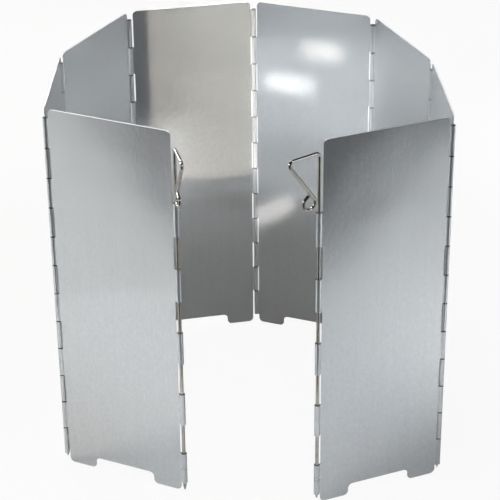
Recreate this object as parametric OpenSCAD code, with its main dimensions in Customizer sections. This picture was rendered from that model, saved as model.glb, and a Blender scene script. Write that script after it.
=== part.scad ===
// Folding stove windscreen. Eight sheet panels are hinged edge to edge on wire pins, and a
// ground stake slides in the rolled knuckles of each free edge. The screen stands open on its
// feet as a ring round the stove, with the gap between its free edges towards -Y.

/* [Panels] */
// Height of a panel
panel_h = 240; // [180:1:320]
// Distance along a panel between the pivots at its two edges
panel_pitch = 82.4; // [75:0.1:110]
// Thickness of the sheet
sheet_t = 0.5; // [0.4:0.05:0.8]
// Radius of a panel's outer corners
corner_r = 3; // [1:0.25:5]

/* [Feet] */
// Width of the foot at each end of a panel's lower edge
foot_w = 18.6; // [14:0.1:26]
// Height of the air notch between the feet
notch_h = 7.5; // [6.5:0.1:20]
// Radius of the notch's corners
notch_r = 3; // [1:0.25:3.2]

/* [Hinges] */
// Number of knuckles along a hinge, shared by its two panels
hinge_knuckles = 12; // [8:2:16]
// Distance from the ends of a hinge to the top and bottom of the panels
hinge_inset = 5.4; // [4:0.1:12]
// Gap between neighbouring knuckles of a hinge
knuckle_gap = 0.4; // [0.2:0.1:1]
// Diameter of a hinge pin
pin_d = 1.5; // [1.2:0.1:2]
// Clearance between a hinge pin and its knuckles
pin_clear = 0.2; // [0.1:0.05:0.3]
// Depth of a pin's end inside its last knuckle
pin_recess = 0.6; // [0.2:0.1:2]
// Gap between a hinge knuckle and the edge of the neighbouring sheet
edge_clear = 0.95; // [0.6:0.05:2]
// Gap left between two panels that are folded face to face
fold_gap = 0.2; // [0.1:0.05:0.4]
// Width of the seam where a rolled knuckle closes against its sheet
seam_w = 0.25; // [0.15:0.05:0.4]

/* [Bends of the open ring] */
// Heading of the left end panel, seen from above
first_heading = 155; // [120:1:180]
// Angle between the left end panel and the left side panel
hinge_angle_1 = 67; // [30:0.5:90]
// Angle between the left side panel and the left rear panel
hinge_angle_2 = 25; // [0:0.5:45]
// Angle between the left rear panel and the left back panel
hinge_angle_3 = 51.5; // [30:0.5:60]
// Angle between the left back panel and the right back panel
hinge_angle_4 = 33.5; // [20:0.5:45]
// Angle between the right back panel and the right rear panel
hinge_angle_5 = 47; // [30:0.5:60]
// Angle between the right rear panel and the right side panel
hinge_angle_6 = 18; // [0:0.5:45]
// Angle between the right side panel and the right end panel
hinge_angle_7 = 71; // [30:0.5:90]

/* [Stakes] */
// Diameter of the stake wire
stake_d = 2.1; // [1.8:0.1:2.6]
// Clearance between a stake and its knuckles
stake_clear = 0.2; // [0.1:0.05:0.3]
// Number of knuckles that guide a stake
stake_knuckles = 5; // [3:1:7]
// Height of the lowest stake knuckle above the ground
stake_inset = 6.2; // [5:0.1:12]
// Room above the highest stake knuckle for the stowed handle
handle_room = 43.8; // [40:0.1:60]
// Length of the neck between a stake knuckle and its sheet
stake_neck = 0.6; // [0.4:0.05:1.5]
// Width of the crimp that grips the stake in its lowest knuckle
crimp_w = 0.8; // [0.4:0.1:2]
// Depth of that crimp
crimp_depth = 0.2; // [0.1:0.05:0.3]
// Height of the stowed right stake's tip above the ground
tip_lift = 3.5; // [1:0.1:6]
// Depth by which the left stake is stowed below the right one
left_stake_drop = 2.5; // [0:0.1:3]
// Length of the pointed tip
tip_l = 3; // [2:0.1:8]
// Diameter of the tip's blunt end
tip_d = 0.9; // [0.5:0.1:1.5]

/* [Stake handles] */
// Depth of the stowed right handle's arm below the top of the panels
handle_drop = 7.4; // [4:0.1:10]
// Lean of the handle's brace from upright
brace_lean = 36; // [26:1:40]
// Radius of the handle's two bends
bend_r = 2.4; // [1.8:0.1:4]
// Radius of the curl that ends the handle
curl_r = 4; // [3:0.1:5]
// Gap between the end of the wire and the brace that it curls back to
tail_gap = 0.5; // [0.4:0.05:1.5]
// Height of the curl above the highest stake knuckle
curl_lift = 2.5; // [1:0.1:5]
// Gap by which the curl passes a stake knuckle
curl_clear = 0.15; // [0.1:0.05:0.5]
// Turn of the left handle from its panel's plane towards the outside
left_handle_turn = 52; // [10:1:120]
// Turn of the right handle from its panel's plane towards the outside
right_handle_turn = 14; // [10:1:120]

/* [Hidden] */

$fn = 48;
aluminium = "#c6c9cb";
pin_steel = "#5f6061";
stake_steel = "#a8a49d";

// Past a surface that a cut has to break through
through = 1;

bends = [
    hinge_angle_1, hinge_angle_2, hinge_angle_3, hinge_angle_4, hinge_angle_5, hinge_angle_6, hinge_angle_7,
];
panel_count = len(bends) + 1;

// Knuckles are rolled from the sheet, so their wall is one sheet thick.
pin_bore_r = pin_d / 2 + pin_clear;
hinge_knuckle_r = pin_bore_r + sheet_t;
stake_bore_r = stake_d / 2 + stake_clear;
stake_knuckle_r = stake_bore_r + sheet_t;

hinge_l = panel_h - 2 * hinge_inset;
hinge_slot = hinge_l / hinge_knuckles;
stake_top = panel_h - handle_room;
stake_slot = (stake_top - stake_inset) / (2 * stake_knuckles - 1);

// The pivots of a folding panel lie on opposite faces of its sheet, which lets the panels
// close like an accordion: odd hinges fold inwards and even hinges fold outwards.
fold_offset = (sheet_t + fold_gap) / 2;

// Edges are numbered from the left free edge, 0, round to the right free edge.
function is_free(edge) = edge == 0 || edge == panel_count;
function pivot_y(edge) = is_free(edge) ? 0 : (edge % 2 == 1 ? -1 : 1) * fold_offset;
function bore_r(edge) = is_free(edge) ? stake_bore_r : pin_bore_r;
function knuckle_r(edge) = bore_r(edge) + sheet_t;
function sheet_edge(edge) = is_free(edge) ? stake_knuckle_r + stake_neck : hinge_knuckle_r + edge_clear;

// Heights of the lower and upper ends of the knuckles that a panel has at an edge. The panel
// on the left of a hinge has the top knuckle, and the two panels take turns from there down.
function hinge_slots(first) = [
    for (i = [first : 2 : hinge_knuckles - 1])
        [hinge_inset + i * hinge_slot + knuckle_gap / 2, hinge_inset + (i + 1) * hinge_slot - knuckle_gap / 2]
];
function stake_slots() = [
    for (i = [0 : stake_knuckles - 1])
        [stake_inset + 2 * i * stake_slot, stake_inset + (2 * i + 1) * stake_slot]
];
function edge_slots(panel, edge) = is_free(edge) ? stake_slots() : hinge_slots(edge == panel ? 1 : 0);

// Plan of the open ring: each panel's heading, and the place of each pivot
function turned(v, angle) = [v[0] * cos(angle) - v[1] * sin(angle), v[0] * sin(angle) + v[1] * cos(angle)];
function heading(panel) = panel == 1 ? first_heading : heading(panel - 1) - bends[panel - 2];
function pivot(edge) = edge == 0 ? [0, 0]
    : pivot(edge - 1) + turned([panel_pitch, pivot_y(edge) - pivot_y(edge - 1)], heading(edge));

// Shape of a stake's handle. Its brace runs down from the elbow at the end of the level arm to
// the curl, whose place is set by the knuckle below it.
arm_z = panel_h - handle_drop;
curl_centre = [stake_knuckle_r + curl_clear + stake_d / 2 + curl_r, stake_top + curl_lift + stake_d / 2 + curl_r];
brace_l = (arm_z - bend_r - curl_centre[1] - (bend_r + curl_r) * sin(brace_lean)) / cos(brace_lean);
elbow_x = curl_centre[0] - (bend_r + curl_r) * cos(brace_lean) + brace_l * sin(brace_lean);
handle_reach = elbow_x + bend_r;
tail_l = curl_r - stake_d / 2 - tail_gap;

// The left stake keeps clear of the ground
left_stake_z = -min(left_stake_drop, tip_lift - 0.5);

// Heading of each stowed handle, and the place of its far end
left_handle_heading = heading(1) + 180 - left_handle_turn;
right_handle_heading = heading(panel_count) + right_handle_turn;
left_handle_end = pivot(0) + turned([handle_reach, 0], left_handle_heading);
right_handle_end = pivot(panel_count) + turned([handle_reach, 0], right_handle_heading);

// The part's origin is at the middle of the ring's outline, on the ground.
outline = concat(
    [for (edge = [0 : panel_count]) [pivot(edge), knuckle_r(edge)]],
    [[left_handle_end, stake_d / 2], [right_handle_end, stake_d / 2]]
);
function middle(axis) =
    (min([for (p = outline) p[0][axis] - p[1]]) + max([for (p = outline) p[0][axis] + p[1]])) / 2;
ring_centre = [middle(0), middle(1)];

// Puts what is drawn in a panel's own frame at its place in the ring. There the sheet stands
// along +X, its outer face towards +Y, with the pivot of its left edge at X 0.
module in_panel(panel) {
    place = pivot(panel - 1) - ring_centre;
    translate([place[0], place[1], 0])
        rotate(heading(panel))
            translate([0, -pivot_y(panel - 1), 0])
                children();
}

// Puts the pivot of one of a panel's edges at the origin, with its sheet towards +X.
module at_edge(panel, edge) {
    on_right = edge == panel;
    translate([on_right ? panel_pitch : 0, pivot_y(edge), 0])
        mirror([on_right ? 1 : 0, 0, 0])
            children();
}

module rounded_rectangle(w, h, r) {
    translate([r, 0])
        square([w - 2 * r, h]);
    translate([0, r])
        square([w, h - 2 * r]);
    for (x = [r, w - r], y = [r, h - r])
        translate([x, y])
            circle(r);
}

// Air notch between the feet, centred on X 0, with the feet's inner corners rounded off
module notch_outline(w) {
    translate([-w / 2, -notch_h])
        rounded_rectangle(w, 2 * notch_h, notch_r);
    for (side = [0, 1])
        mirror([side, 0])
            translate([w / 2 - notch_r, -notch_r])
                difference() {
                    square(2 * notch_r);
                    translate([2 * notch_r, 2 * notch_r])
                        circle(notch_r);
                }
}

// Flat blank of a panel: the sheet with its feet, and a tab for each knuckle
module blank_outline(panel) {
    left = sheet_edge(panel - 1);
    width = panel_pitch - left - sheet_edge(panel);
    difference() {
        translate([left, 0])
            rounded_rectangle(width, panel_h, corner_r);
        translate([left + width / 2, 0])
            notch_outline(width - 2 * foot_w);
    }
    for (slot = edge_slots(panel, panel - 1))
        translate([0, slot[0]])
            square([left + through, slot[1] - slot[0]]);
    for (slot = edge_slots(panel, panel))
        translate([left + width - through, slot[0]])
            square([sheet_edge(panel) + through, slot[1] - slot[0]]);
}

// Groove that a crimping tool leaves round a stake knuckle
module crimp() {
    translate([0, 0, stake_inset + (stake_slot - crimp_w) / 2])
        rotate_extrude()
            translate([stake_knuckle_r - crimp_depth, 0])
                square([crimp_depth + through, crimp_w]);
}

// Bore through an edge's knuckles, and the seam where each one closes against the sheet
module knuckle_cuts(edge) {
    away = pivot_y(edge) > 0 ? 1 : -1;
    seam_y = -pivot_y(edge) + away * (sheet_t + seam_w) / 2;
    cylinder(h = panel_h, r = bore_r(edge));
    translate([0, seam_y - seam_w / 2, 0])
        cube([knuckle_r(edge), seam_w, panel_h]);
}

// One panel with the knuckles at its two edges rolled from the sheet
module panel(number) {
    in_panel(number)
        difference() {
            union() {
                translate([0, sheet_t / 2, 0])
                    rotate([90, 0, 0])
                        linear_extrude(sheet_t)
                            blank_outline(number);
                for (edge = [number - 1, number])
                    at_edge(number, edge)
                        for (slot = edge_slots(number, edge))
                            translate([0, 0, slot[0]])
                                cylinder(h = slot[1] - slot[0], r = knuckle_r(edge));
            }
            for (edge = [number - 1, number])
                at_edge(number, edge) {
                    knuckle_cuts(edge);
                    if (is_free(edge))
                        crimp();
                }
        }
}

module hinge_pin(edge) {
    in_panel(edge)
        at_edge(edge, edge)
            translate([0, 0, hinge_inset + pin_recess])
                cylinder(h = hinge_l - 2 * pin_recess, d = pin_d);
}

// Stretches of stake wire. Each one starts at the origin along +X, and what follows it is drawn
// on from its end.
module straight_wire(l) {
    rotate([0, 90, 0])
        cylinder(h = l, d = stake_d);
    translate([l, 0, 0])
        children();
}

module bent_wire(r, sweep, side) {
    translate([0, side * r, 0])
        rotate(side * sweep) {
            mirror([0, side > 0 ? 1 : 0, 0])
                rotate(90)
                    rotate_extrude(angle = sweep)
                        translate([r, 0])
                            circle(d = stake_d);
            translate([0, -side * r, 0])
                children();
        }
}

// Stake wire: pointed leg, triangular handle, and the curl that latches over a knuckle
module stake() {
    to_left = 1;
    to_right = -1;
    translate([0, 0, tip_lift])
        cylinder(h = tip_l, d1 = tip_d, d2 = stake_d);
    translate([0, 0, tip_lift + tip_l])
        rotate([90, -90, 0])
            straight_wire(arm_z - bend_r - tip_lift - tip_l)
                bent_wire(bend_r, 90, to_right)
                    straight_wire(elbow_x - bend_r)
                        bent_wire(bend_r, 90 + brace_lean, to_right)
                            straight_wire(brace_l)
                                bent_wire(curl_r, 270, to_left)
                                    straight_wire(tail_l);
}

module left_end_panel() { color(aluminium) panel(1); }
module left_side_panel() { color(aluminium) panel(2); }
module left_rear_panel() { color(aluminium) panel(3); }
module left_back_panel() { color(aluminium) panel(4); }
module right_back_panel() { color(aluminium) panel(5); }
module right_rear_panel() { color(aluminium) panel(6); }
module right_side_panel() { color(aluminium) panel(7); }
module right_end_panel() { color(aluminium) panel(8); }

module hinge_pin_1() { color(pin_steel) hinge_pin(1); }
module hinge_pin_2() { color(pin_steel) hinge_pin(2); }
module hinge_pin_3() { color(pin_steel) hinge_pin(3); }
module hinge_pin_4() { color(pin_steel) hinge_pin(4); }
module hinge_pin_5() { color(pin_steel) hinge_pin(5); }
module hinge_pin_6() { color(pin_steel) hinge_pin(6); }
module hinge_pin_7() { color(pin_steel) hinge_pin(7); }

module left_stake() {
    color(stake_steel)
        in_panel(1)
            translate([0, 0, left_stake_z])
                rotate(180 - left_handle_turn)
                    stake();
}

module right_stake() {
    color(stake_steel)
        in_panel(panel_count)
            translate([panel_pitch, 0, 0])
                rotate(right_handle_turn)
                    stake();
}

left_end_panel();
left_side_panel();
left_rear_panel();
left_back_panel();
right_back_panel();
right_rear_panel();
right_side_panel();
right_end_panel();
hinge_pin_1();
hinge_pin_2();
hinge_pin_3();
hinge_pin_4();
hinge_pin_5();
hinge_pin_6();
hinge_pin_7();
left_stake();
right_stake();
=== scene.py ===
import math

import bpy
from mathutils import Matrix, Quaternion, Vector


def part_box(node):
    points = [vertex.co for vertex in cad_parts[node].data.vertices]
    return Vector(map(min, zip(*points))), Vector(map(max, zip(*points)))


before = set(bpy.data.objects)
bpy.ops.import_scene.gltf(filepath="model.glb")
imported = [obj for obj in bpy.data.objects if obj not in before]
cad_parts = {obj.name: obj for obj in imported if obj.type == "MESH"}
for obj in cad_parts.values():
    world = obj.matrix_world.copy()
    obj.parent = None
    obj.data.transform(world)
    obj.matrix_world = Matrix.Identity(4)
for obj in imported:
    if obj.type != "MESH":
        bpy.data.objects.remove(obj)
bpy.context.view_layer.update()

# The photograph's camera: its frame and focal length in pixels, its place and the nearest and
# farthest that it sees in metres, and its sensor in millimetres
PHOTO_PIXELS = 500
FOCAL_PIXELS = 1815.7
CAMERA_PLACE = (-0.0030, -1.0073, 0.6483)
CAMERA_DOWN = math.radians(27.77)
CAMERA_TURN = math.radians(-0.22)
CAMERA_ROLL = math.radians(-0.62)
CAMERA_SEES = (0.05, 20)
SENSOR_WIDTH = 36.0

# The floor board in metres: half its width, which is also where its back edge is, its height
# just under the feet, and its front edge at the left end, in the middle and at the right end
FLOOR_HALF = 3.0
FLOOR_HEIGHT = -0.0002
FLOOR_FRONT = {-1: -1.23, 0: -0.215, 1: -1.37}

# The colours of the floor board and of the dim room, and the shares of white that the camera
# and the metal see of each
FLOOR_COLOUR = (0.55, 0.527, 0.488, 1)
FLOOR_WHITE = (0.93, 0.05)
ROOM_COLOUR = (0.55, 0.62, 0.72, 1)
ROOM_STRENGTH = 0.03
ROOM_WHITE = (0.94, 0.025)

# The soft boxes' aim and size in metres, and the spread in degrees and the tints of the boxes
# over the floor
RING_MIDDLE = (0, 0, 0.12)
SOFT_BOX_SIZE = (0.45, 0.3)
FLOOR_BOX_SPREAD = 12
FRONT_FLOOR_TINT = (0.90, 1.0, 1.13)
BACK_FLOOR_TINT = (0.92, 1.0, 1.10)

PANELS = [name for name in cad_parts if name.endswith("_panel")]
PINS = [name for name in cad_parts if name.startswith("hinge_pin")]
STAKES = [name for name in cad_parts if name.endswith("_stake")]

# Metres from a pin's or stake's axis to just outside its knuckles, and the heights between which
# every level face of a panel is the end of a knuckle
KNUCKLE_REACH = 0.0019
KNUCKLE_ENDS = (0.0120, 0.2365)

# Height in metres of the first joint between hinge knuckles, the step from each to the next, and
# half the width of the painted shade line at a joint
HINGE_JOINT = 0.0054
HINGE_STEP = 0.0191
PAINTED_SHADE_REACH = 0.0004

# How far a face's normal is turned up or down, from a plain face of the sheet to a full cut edge
EDGE_TILT = (0.5, 0.9)

# Patterns of the sheet and of the wires, in features per metre
GRAIN_SCALE = (800, 800, 400)
STREAK_SCALE = (450, 450, 9)
CLOUD_SCALE = 30.0
WAVE_SCALE = 14.0
STAIN_SCALE = 320.0
DIE_LINE_SCALE = (5200, 5200, 90)

# The stretch of a pattern over which it goes from dark to bright
PATTERN_STRETCH = (0.3, 0.7)

# How strong the bumps are, and their heights in metres
GRAIN_BUMP = {"Strength": 0.06, "Distance": 0.0002}
WAVE_BUMP = {"Strength": 0.4, "Distance": 0.002}
DIE_LINE_BUMP = {"Strength": 0.15, "Distance": 0.0001}

# The sheet's tints, the share of streaks in them, and the colour of the painted shade on the
# knuckles' ends and joints
SHEET_DARK = (0.83, 0.84, 0.85)
SHEET_BRIGHT = (0.95, 0.96, 0.97)
STREAK_SHARE = 0.2
PAINTED_SHADE_COLOUR = (0.03, 0.03, 0.03, 1)

# How metallic and how rough the sheet's faces, burnished knuckles and cut edges are, and how
# much its grain takes from or adds to the roughness
FACE_METAL = 0.8
KNUCKLE_METAL = 0.6
EDGE_METAL = 0.3
FACE_ROUGH = (0.12, 0.15)
KNUCKLE_ROUGH = 0.05
EDGE_ROUGH = 0.4
GRAIN_ROUGH = (-0.02, 0.02)


def connect(tree, node, inputs):
    """Links the sockets among the inputs to the node, and sets its other inputs to their values."""
    for key, value in inputs.items():
        if isinstance(value, bpy.types.NodeSocket):
            tree.links.new(value, node.inputs[key])
        else:
            node.inputs[key].default_value = value


def node_adder(tree):
    """A helper that adds a node to the tree, with its inputs and settings."""

    def add(kind, inputs=None, **settings):
        node = tree.nodes.new(kind)
        for key, value in settings.items():
            setattr(node, key, value)
        connect(tree, node, inputs or {})
        return node

    return add


def node_material(name):
    """A new material with its node tree, its Principled shader and a helper that adds nodes."""
    material = bpy.data.materials.new(name)
    material.use_nodes = True
    tree = material.node_tree
    return material, tree, tree.nodes["Principled BSDF"], node_adder(tree)


def reckon(add, operation, first, second=0.0):
    """The result of one calculation on two numbers or sockets."""
    return add("ShaderNodeMath", {0: first, 1: second}, operation=operation).outputs["Value"]


def mixed(add, share, first, second):
    """The first number where share is 0, the second where it is 1, and a mixture in between."""
    return add("ShaderNodeMix", {"Factor": share, "A": first, "B": second}).outputs["Result"]


def speckle(add, place, scale, detail):
    """A pattern of soft spots, of one size in all directions."""
    inputs = {"Vector": place, "Scale": scale, "Detail": detail}
    return add("ShaderNodeTexNoise", inputs).outputs["Fac"]


def stretched(add, place, scale, roughness=0.5):
    """A pattern of spots drawn out by its own scale along each axis."""
    drawn = add("ShaderNodeMapping", {"Vector": place, "Scale": scale}).outputs["Vector"]
    inputs = {"Vector": drawn, "Scale": 1.0, "Detail": 2.0, "Roughness": roughness}
    return add("ShaderNodeTexNoise", inputs).outputs["Fac"]


def dark_to_bright(add, pattern, dark, bright):
    """The colour from dark to bright that a pattern gives."""
    ramp = add("ShaderNodeValToRGB", {"Fac": pattern})
    for stop, position, colour in zip(ramp.color_ramp.elements, PATTERN_STRETCH, (dark, bright)):
        stop.position = position
        stop.color = (*colour, 1)
    return ramp.outputs["Color"]


def pin_axes():
    """The upright axes of the hinge pins."""
    boxes = [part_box(name) for name in PINS]
    return [((low[0] + high[0]) / 2, (low[1] + high[1]) / 2) for low, high in boxes]


def stake_axes():
    """The upright axes of the stakes' legs, through their points."""
    meshes = [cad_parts[name].data for name in STAKES]
    points = [min(mesh.vertices, key=lambda corner: corner.co.z).co for mesh in meshes]
    return [(point.x, point.y) for point in points]


def knuckles_round(add, place, axes):
    """1 on the knuckles round the upright axes, and 0 away from them."""
    flat = add("ShaderNodeVectorMath", {0: place, 1: (1, 1, 0)}, operation="MULTIPLY")
    nearest = None
    for x, y in axes:
        inputs = {0: flat.outputs["Vector"], 1: (x, y, 0)}
        away = add("ShaderNodeVectorMath", inputs, operation="DISTANCE").outputs["Value"]
        nearest = away if nearest is None else reckon(add, "MINIMUM", nearest, away)
    return reckon(add, "LESS_THAN", nearest, KNUCKLE_REACH)


def cut_edges(add, normal):
    """1 on the level cut edges of the sheet, and 0 on its upright faces."""
    level = add("ShaderNodeSeparateXYZ", {"Vector": normal}).outputs["Z"]
    tilt = reckon(add, "ABSOLUTE", level)
    inputs = {"Value": tilt, "From Min": EDGE_TILT[0], "From Max": EDGE_TILT[1]}
    return add("ShaderNodeMapRange", inputs).outputs["Result"]


def knuckle_painted_shade(add, place, hinge_knuckle, cut_edge):
    """Painted shade: 1 on the ends of the knuckles and along the joints between hinge knuckles,
    where shade falls, 0 elsewhere.
    """
    height = add("ShaderNodeSeparateXYZ", {"Vector": place}).outputs["Z"]
    above = reckon(add, "GREATER_THAN", height, KNUCKLE_ENDS[0])
    below = reckon(add, "LESS_THAN", height, KNUCKLE_ENDS[1])
    between = reckon(add, "MULTIPLY", above, below)
    knuckle_end = reckon(add, "MULTIPLY", between, cut_edge)

    # The height in steps, and how far it is from the nearest joint, half a step at most
    inputs = {"Value": height, "From Min": HINGE_JOINT, "From Max": HINGE_JOINT + HINGE_STEP}
    steps = add("ShaderNodeMapRange", inputs, clamp=False).outputs["Result"]
    off_joint = reckon(add, "PINGPONG", steps, 0.5)
    joint = reckon(add, "LESS_THAN", off_joint, PAINTED_SHADE_REACH / HINGE_STEP)
    joint_line = reckon(add, "MULTIPLY", joint, hinge_knuckle)
    return reckon(add, "MAXIMUM", joint_line, knuckle_end)


def satin_sheet():
    """Rolled aluminium sheet: upright grain and streaks, a slight wave, and duller cut edges.
    The rolled knuckles are burnished, with painted shade darkening their ends and joints."""
    material, tree, shader, add = node_material("satin_sheet")
    surface = add("ShaderNodeTexCoord").outputs
    place = surface["Object"]
    hinge_knuckle = knuckles_round(add, place, pin_axes())
    stake_knuckle = knuckles_round(add, place, stake_axes())
    knuckle = reckon(add, "MAXIMUM", hinge_knuckle, stake_knuckle)
    cut_edge = cut_edges(add, surface["Normal"])
    # Painted shade: a mask of the knuckles' ends and of the joints between hinge knuckles, where
    # shade falls
    painted_shade = knuckle_painted_shade(add, place, hinge_knuckle, cut_edge)

    grain = stretched(add, place, GRAIN_SCALE, roughness=0.6)
    streak = stretched(add, place, STREAK_SCALE)
    cloud = speckle(add, place, CLOUD_SCALE, detail=3.0)
    wave = speckle(add, place, WAVE_SCALE, detail=1.0)

    streaked = mixed(add, STREAK_SHARE, grain, streak)
    tint = dark_to_bright(add, streaked, SHEET_DARK, SHEET_BRIGHT)
    # Painted shade: the tint darkened nearly to black on the knuckles' ends and joints
    shade_painted_tint = add("ShaderNodeMixRGB", {"Fac": painted_shade, "Color1": tint, "Color2": PAINTED_SHADE_COLOUR})
    grain_rough = mixed(add, grain, *GRAIN_ROUGH)
    face_rough = reckon(add, "ADD", grain_rough, mixed(add, cloud, *FACE_ROUGH))
    rolled_rough = mixed(add, knuckle, face_rough, KNUCKLE_ROUGH)
    rolled_metal = mixed(add, knuckle, FACE_METAL, KNUCKLE_METAL)
    fine = add("ShaderNodeBump", {"Height": grain, **GRAIN_BUMP}).outputs["Normal"]
    sway = add("ShaderNodeBump", {"Height": wave, "Normal": fine, **WAVE_BUMP})
    across = add("ShaderNodeTangent", direction_type="RADIAL", axis="Z")
    finish = {
        "Base Color": shade_painted_tint.outputs["Color"],
        "Roughness": mixed(add, cut_edge, rolled_rough, EDGE_ROUGH),
        "Metallic": mixed(add, cut_edge, rolled_metal, EDGE_METAL),
        "Normal": sway.outputs["Normal"],
        "Tangent": across.outputs["Tangent"],
        "Anisotropic": 1.0,
    }
    connect(tree, shader, finish)
    return material


def drawn_wire(name, dark, bright, rough):
    """Drawn steel wire: upright die lines, with faint stains."""
    material, tree, shader, add = node_material(name)
    place = add("ShaderNodeTexCoord").outputs["Object"]
    stain = speckle(add, place, STAIN_SCALE, detail=4.0)
    lines = stretched(add, place, DIE_LINE_SCALE)
    bump = add("ShaderNodeBump", {"Height": lines, **DIE_LINE_BUMP})
    finish = {
        "Base Color": dark_to_bright(add, stain, dark, bright),
        "Roughness": mixed(add, stain, *rough),
        "Metallic": 1.0,
        "Normal": bump.outputs["Normal"],
    }
    connect(tree, shader, finish)
    return material


def dress(names, material):
    """Puts one material in every slot of the named CAD nodes."""
    for name in names:
        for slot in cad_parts[name].material_slots:
            slot.material = material


def seen_white(add, lit, white_kind, share_seen, share_reflected):
    """Mixes white light into what the camera and the metal see of a surface or of the world."""
    path = add("ShaderNodeLightPath").outputs
    white = add(white_kind, {"Color": (1, 1, 1, 1), "Strength": 1.0})
    seen = reckon(add, "MULTIPLY", path["Is Camera Ray"], share_seen)
    shiny = reckon(add, "MAXIMUM", path["Is Glossy Ray"], path["Is Transmission Ray"])
    reflected = reckon(add, "MULTIPLY", shiny, share_reflected)
    share = reckon(add, "MAXIMUM", seen, reflected)
    inputs = {"Fac": share, 1: lit.outputs[0], 2: white.outputs[0]}
    return add("ShaderNodeMixShader", inputs).outputs["Shader"]


def pale_floor():
    """A plain pale board under the feet, nearly white to the camera, with the object's shadow."""
    bpy.ops.object.select_all(action="DESELECT")
    bpy.ops.mesh.primitive_plane_add(size=2 * FLOOR_HALF, location=(0, 0, FLOOR_HEIGHT))
    floor = bpy.context.object
    floor.name = "floor"
    bpy.ops.object.mode_set(mode="EDIT")
    bpy.ops.mesh.subdivide(number_cuts=1)
    bpy.ops.object.mode_set(mode="OBJECT")
    for corner in floor.data.vertices:
        if corner.co.y < -0.5 * FLOOR_HALF:
            corner.co.y = FLOOR_FRONT[round(corner.co.x / FLOOR_HALF)]
    material, tree, shader, add = node_material("pale_floor")
    tree.nodes.remove(shader)
    lit = add("ShaderNodeBsdfDiffuse", {"Color": FLOOR_COLOUR})
    shown = seen_white(add, lit, "ShaderNodeEmission", *FLOOR_WHITE)
    connect(tree, tree.nodes["Material Output"], {"Surface": shown})
    floor.data.materials.append(material)


def dim_room():
    """The room round the object: dim and bluish, and nearly white to the camera."""
    world = bpy.data.worlds.new("studio")
    bpy.context.scene.world = world
    world.use_nodes = True
    tree = world.node_tree
    lit = tree.nodes["Background"]
    connect(tree, lit, {"Color": ROOM_COLOUR, "Strength": ROOM_STRENGTH})
    shown = seen_white(node_adder(tree), lit, "ShaderNodeBackground", *ROOM_WHITE)
    connect(tree, tree.nodes["World Output"], {"Surface": shown})


def lamp_box(name, place, aim, size, power, colour=(1, 1, 1), spread=180, roll=0):
    """A rectangular lamp: lengths in metres, power in watts, spread and roll in degrees."""
    lamp = bpy.data.lights.new(name, "AREA")
    lamp.shape = "RECTANGLE"
    lamp.size, lamp.size_y = size
    lamp.energy = power
    lamp.color = colour
    lamp.spread = math.radians(spread)
    holder = bpy.data.objects.new(name, lamp)
    bpy.context.scene.collection.objects.link(holder)
    holder.location = place
    aimed = (Vector(aim) - Vector(place)).to_track_quat("-Z", "Y")
    rolled = Quaternion((0, 0, 1), math.radians(roll))
    holder.rotation_euler = (aimed @ rolled).to_euler()


def soft_boxes():
    """Soft boxes at the left, at the right, in front and at the back, aimed at the ring."""
    for name, place, power, colour in (
        ("left_box", (-1.22, 0.0, 0.565), 8.8, (0.95, 0.99, 1.04)),
        ("right_box", (1.06, -0.61, 0.565), 1.8, (0.96, 1.0, 1.04)),
        ("front_box", (-0.61, -1.06, 0.565), 1.3, (0.95, 1.0, 1.05)),
        ("back_box", (-0.375, 0.80, 0.97), 5.5, (1.03, 1.0, 0.95)),
    ):
        lamp_box(name, place, RING_MIDDLE, SOFT_BOX_SIZE, power, colour)


def floor_boxes():
    """Boxes over the floor round the ring, because the panels mirror the lit floor."""
    for name, place, aim, size, power, tint in (
        (
            "left_floor_box", (-0.32, -0.39, 1.2), (-0.32, -0.25, 0),
            (0.62, 0.31), 0.47, FRONT_FLOOR_TINT,
        ),
        (
            "right_floor_box", (0.32, -0.39, 1.2), (0.32, -0.26, 0),
            (0.62, 0.31), 0.52, FRONT_FLOOR_TINT,
        ),
        (
            "side_floor_box", (0.44, 0.145, 1.2), (0.44, 0.145, 0),
            (0.45, 0.70), 0.85, BACK_FLOOR_TINT,
        ),
        (
            "back_floor_box", (0.0, 0.56, 1.2), (0.0, 0.56, 0),
            (0.9, 0.45), 0.5, BACK_FLOOR_TINT,
        ),
    ):
        lamp_box(name, place, aim, size, power, tint, FLOOR_BOX_SPREAD)


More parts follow.
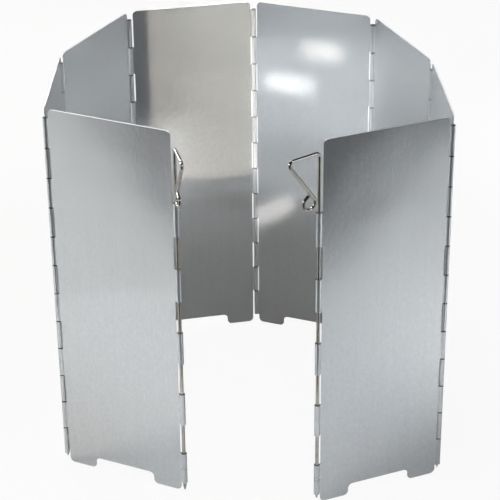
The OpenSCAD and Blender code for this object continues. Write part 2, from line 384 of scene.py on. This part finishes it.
def narrow_beams():
    """Narrow beams that light parts of the inner faces, where the photograph has reflections."""
    # From behind, on the inner face of the left end panel
    lamp_box(
        "left_end_beam", place=(0.255, 0.64, 0.90), aim=(-0.078, -0.073, 0.135),
        size=(0.09, 0.13), power=0.125, colour=(0.96, 1, 1.04), spread=5,
    )

    # From the front, on the upper halves of the two back panels
    lamp_box(
        "left_back_beam", place=(0.1165, -0.6035, 0.729), aim=(-0.0285, 0.110, 0.200),
        size=(0.071, 0.1375), power=0.053, colour=(1.08, 1, 0.88), spread=0.5,
    )
    lamp_box(
        "right_back_beam", place=(-0.225, -0.576, 0.688), aim=(0.048, 0.099, 0.159),
        size=(0.10, 0.095), power=0.041, colour=(0.95, 1, 1.05), spread=2,
    )

    # The bright patches on the right back panel, the last one beside the right stake's curl
    lamp_box(
        "right_back_patch", place=(-0.244, -0.568, 0.714), aim=(0.0287, 0.1071, 0.185),
        size=(0.034, 0.009), power=0.0043, spread=0.9,
    )
    lamp_box(
        "upper_patch", place=(-0.223, -0.577, 0.741), aim=(0.0498, 0.0984, 0.2116),
        size=(0.028, 0.008), power=0.0025, colour=(1.05, 1, 0.93), spread=0.9,
    )
    lamp_box(
        "curl_patch", place=(-0.0112, -0.5488, 0.5894), aim=(0.0188, 0.1112, 0.0894),
        size=(0.026, 0.011), power=0.0025, colour=(1, 1, 0.97), spread=1.0, roll=22,
    )


def photo_camera():
    """The camera at the photograph's place and angle."""
    camera = bpy.data.cameras.new("photo_camera")
    camera.sensor_width = SENSOR_WIDTH
    camera.lens = FOCAL_PIXELS * SENSOR_WIDTH / PHOTO_PIXELS
    camera.clip_start, camera.clip_end = CAMERA_SEES
    holder = bpy.data.objects.new("photo_camera", camera)
    bpy.context.scene.collection.objects.link(holder)
    holder.matrix_world = (
        Matrix.Translation(CAMERA_PLACE)
        @ Matrix.Rotation(CAMERA_TURN, 4, "Z")
        @ Matrix.Rotation(math.pi / 2 - CAMERA_DOWN, 4, "X")
        @ Matrix.Rotation(CAMERA_ROLL, 4, "Z")
    )
    bpy.context.scene.camera = holder


dress(PANELS, satin_sheet())
# The hinge pins: dark steel, made darker still as painted shade, so that the gaps between knuckles
# and the hollows at their ends look shaded
hinge_wire = drawn_wire(
    "hinge_wire", dark=(0.08, 0.08, 0.08), bright=(0.16, 0.16, 0.16), rough=(0.3, 0.45)
)
stake_wire = drawn_wire(
    "stake_wire", dark=(0.50, 0.47, 0.43), bright=(0.66, 0.63, 0.59), rough=(0.07, 0.14)
)
dress(PINS, hinge_wire)
dress(STAKES, stake_wire)
pale_floor()
dim_room()
soft_boxes()
floor_boxes()
narrow_beams()
photo_camera()
bpy.context.scene.view_settings.view_transform = "Standard"
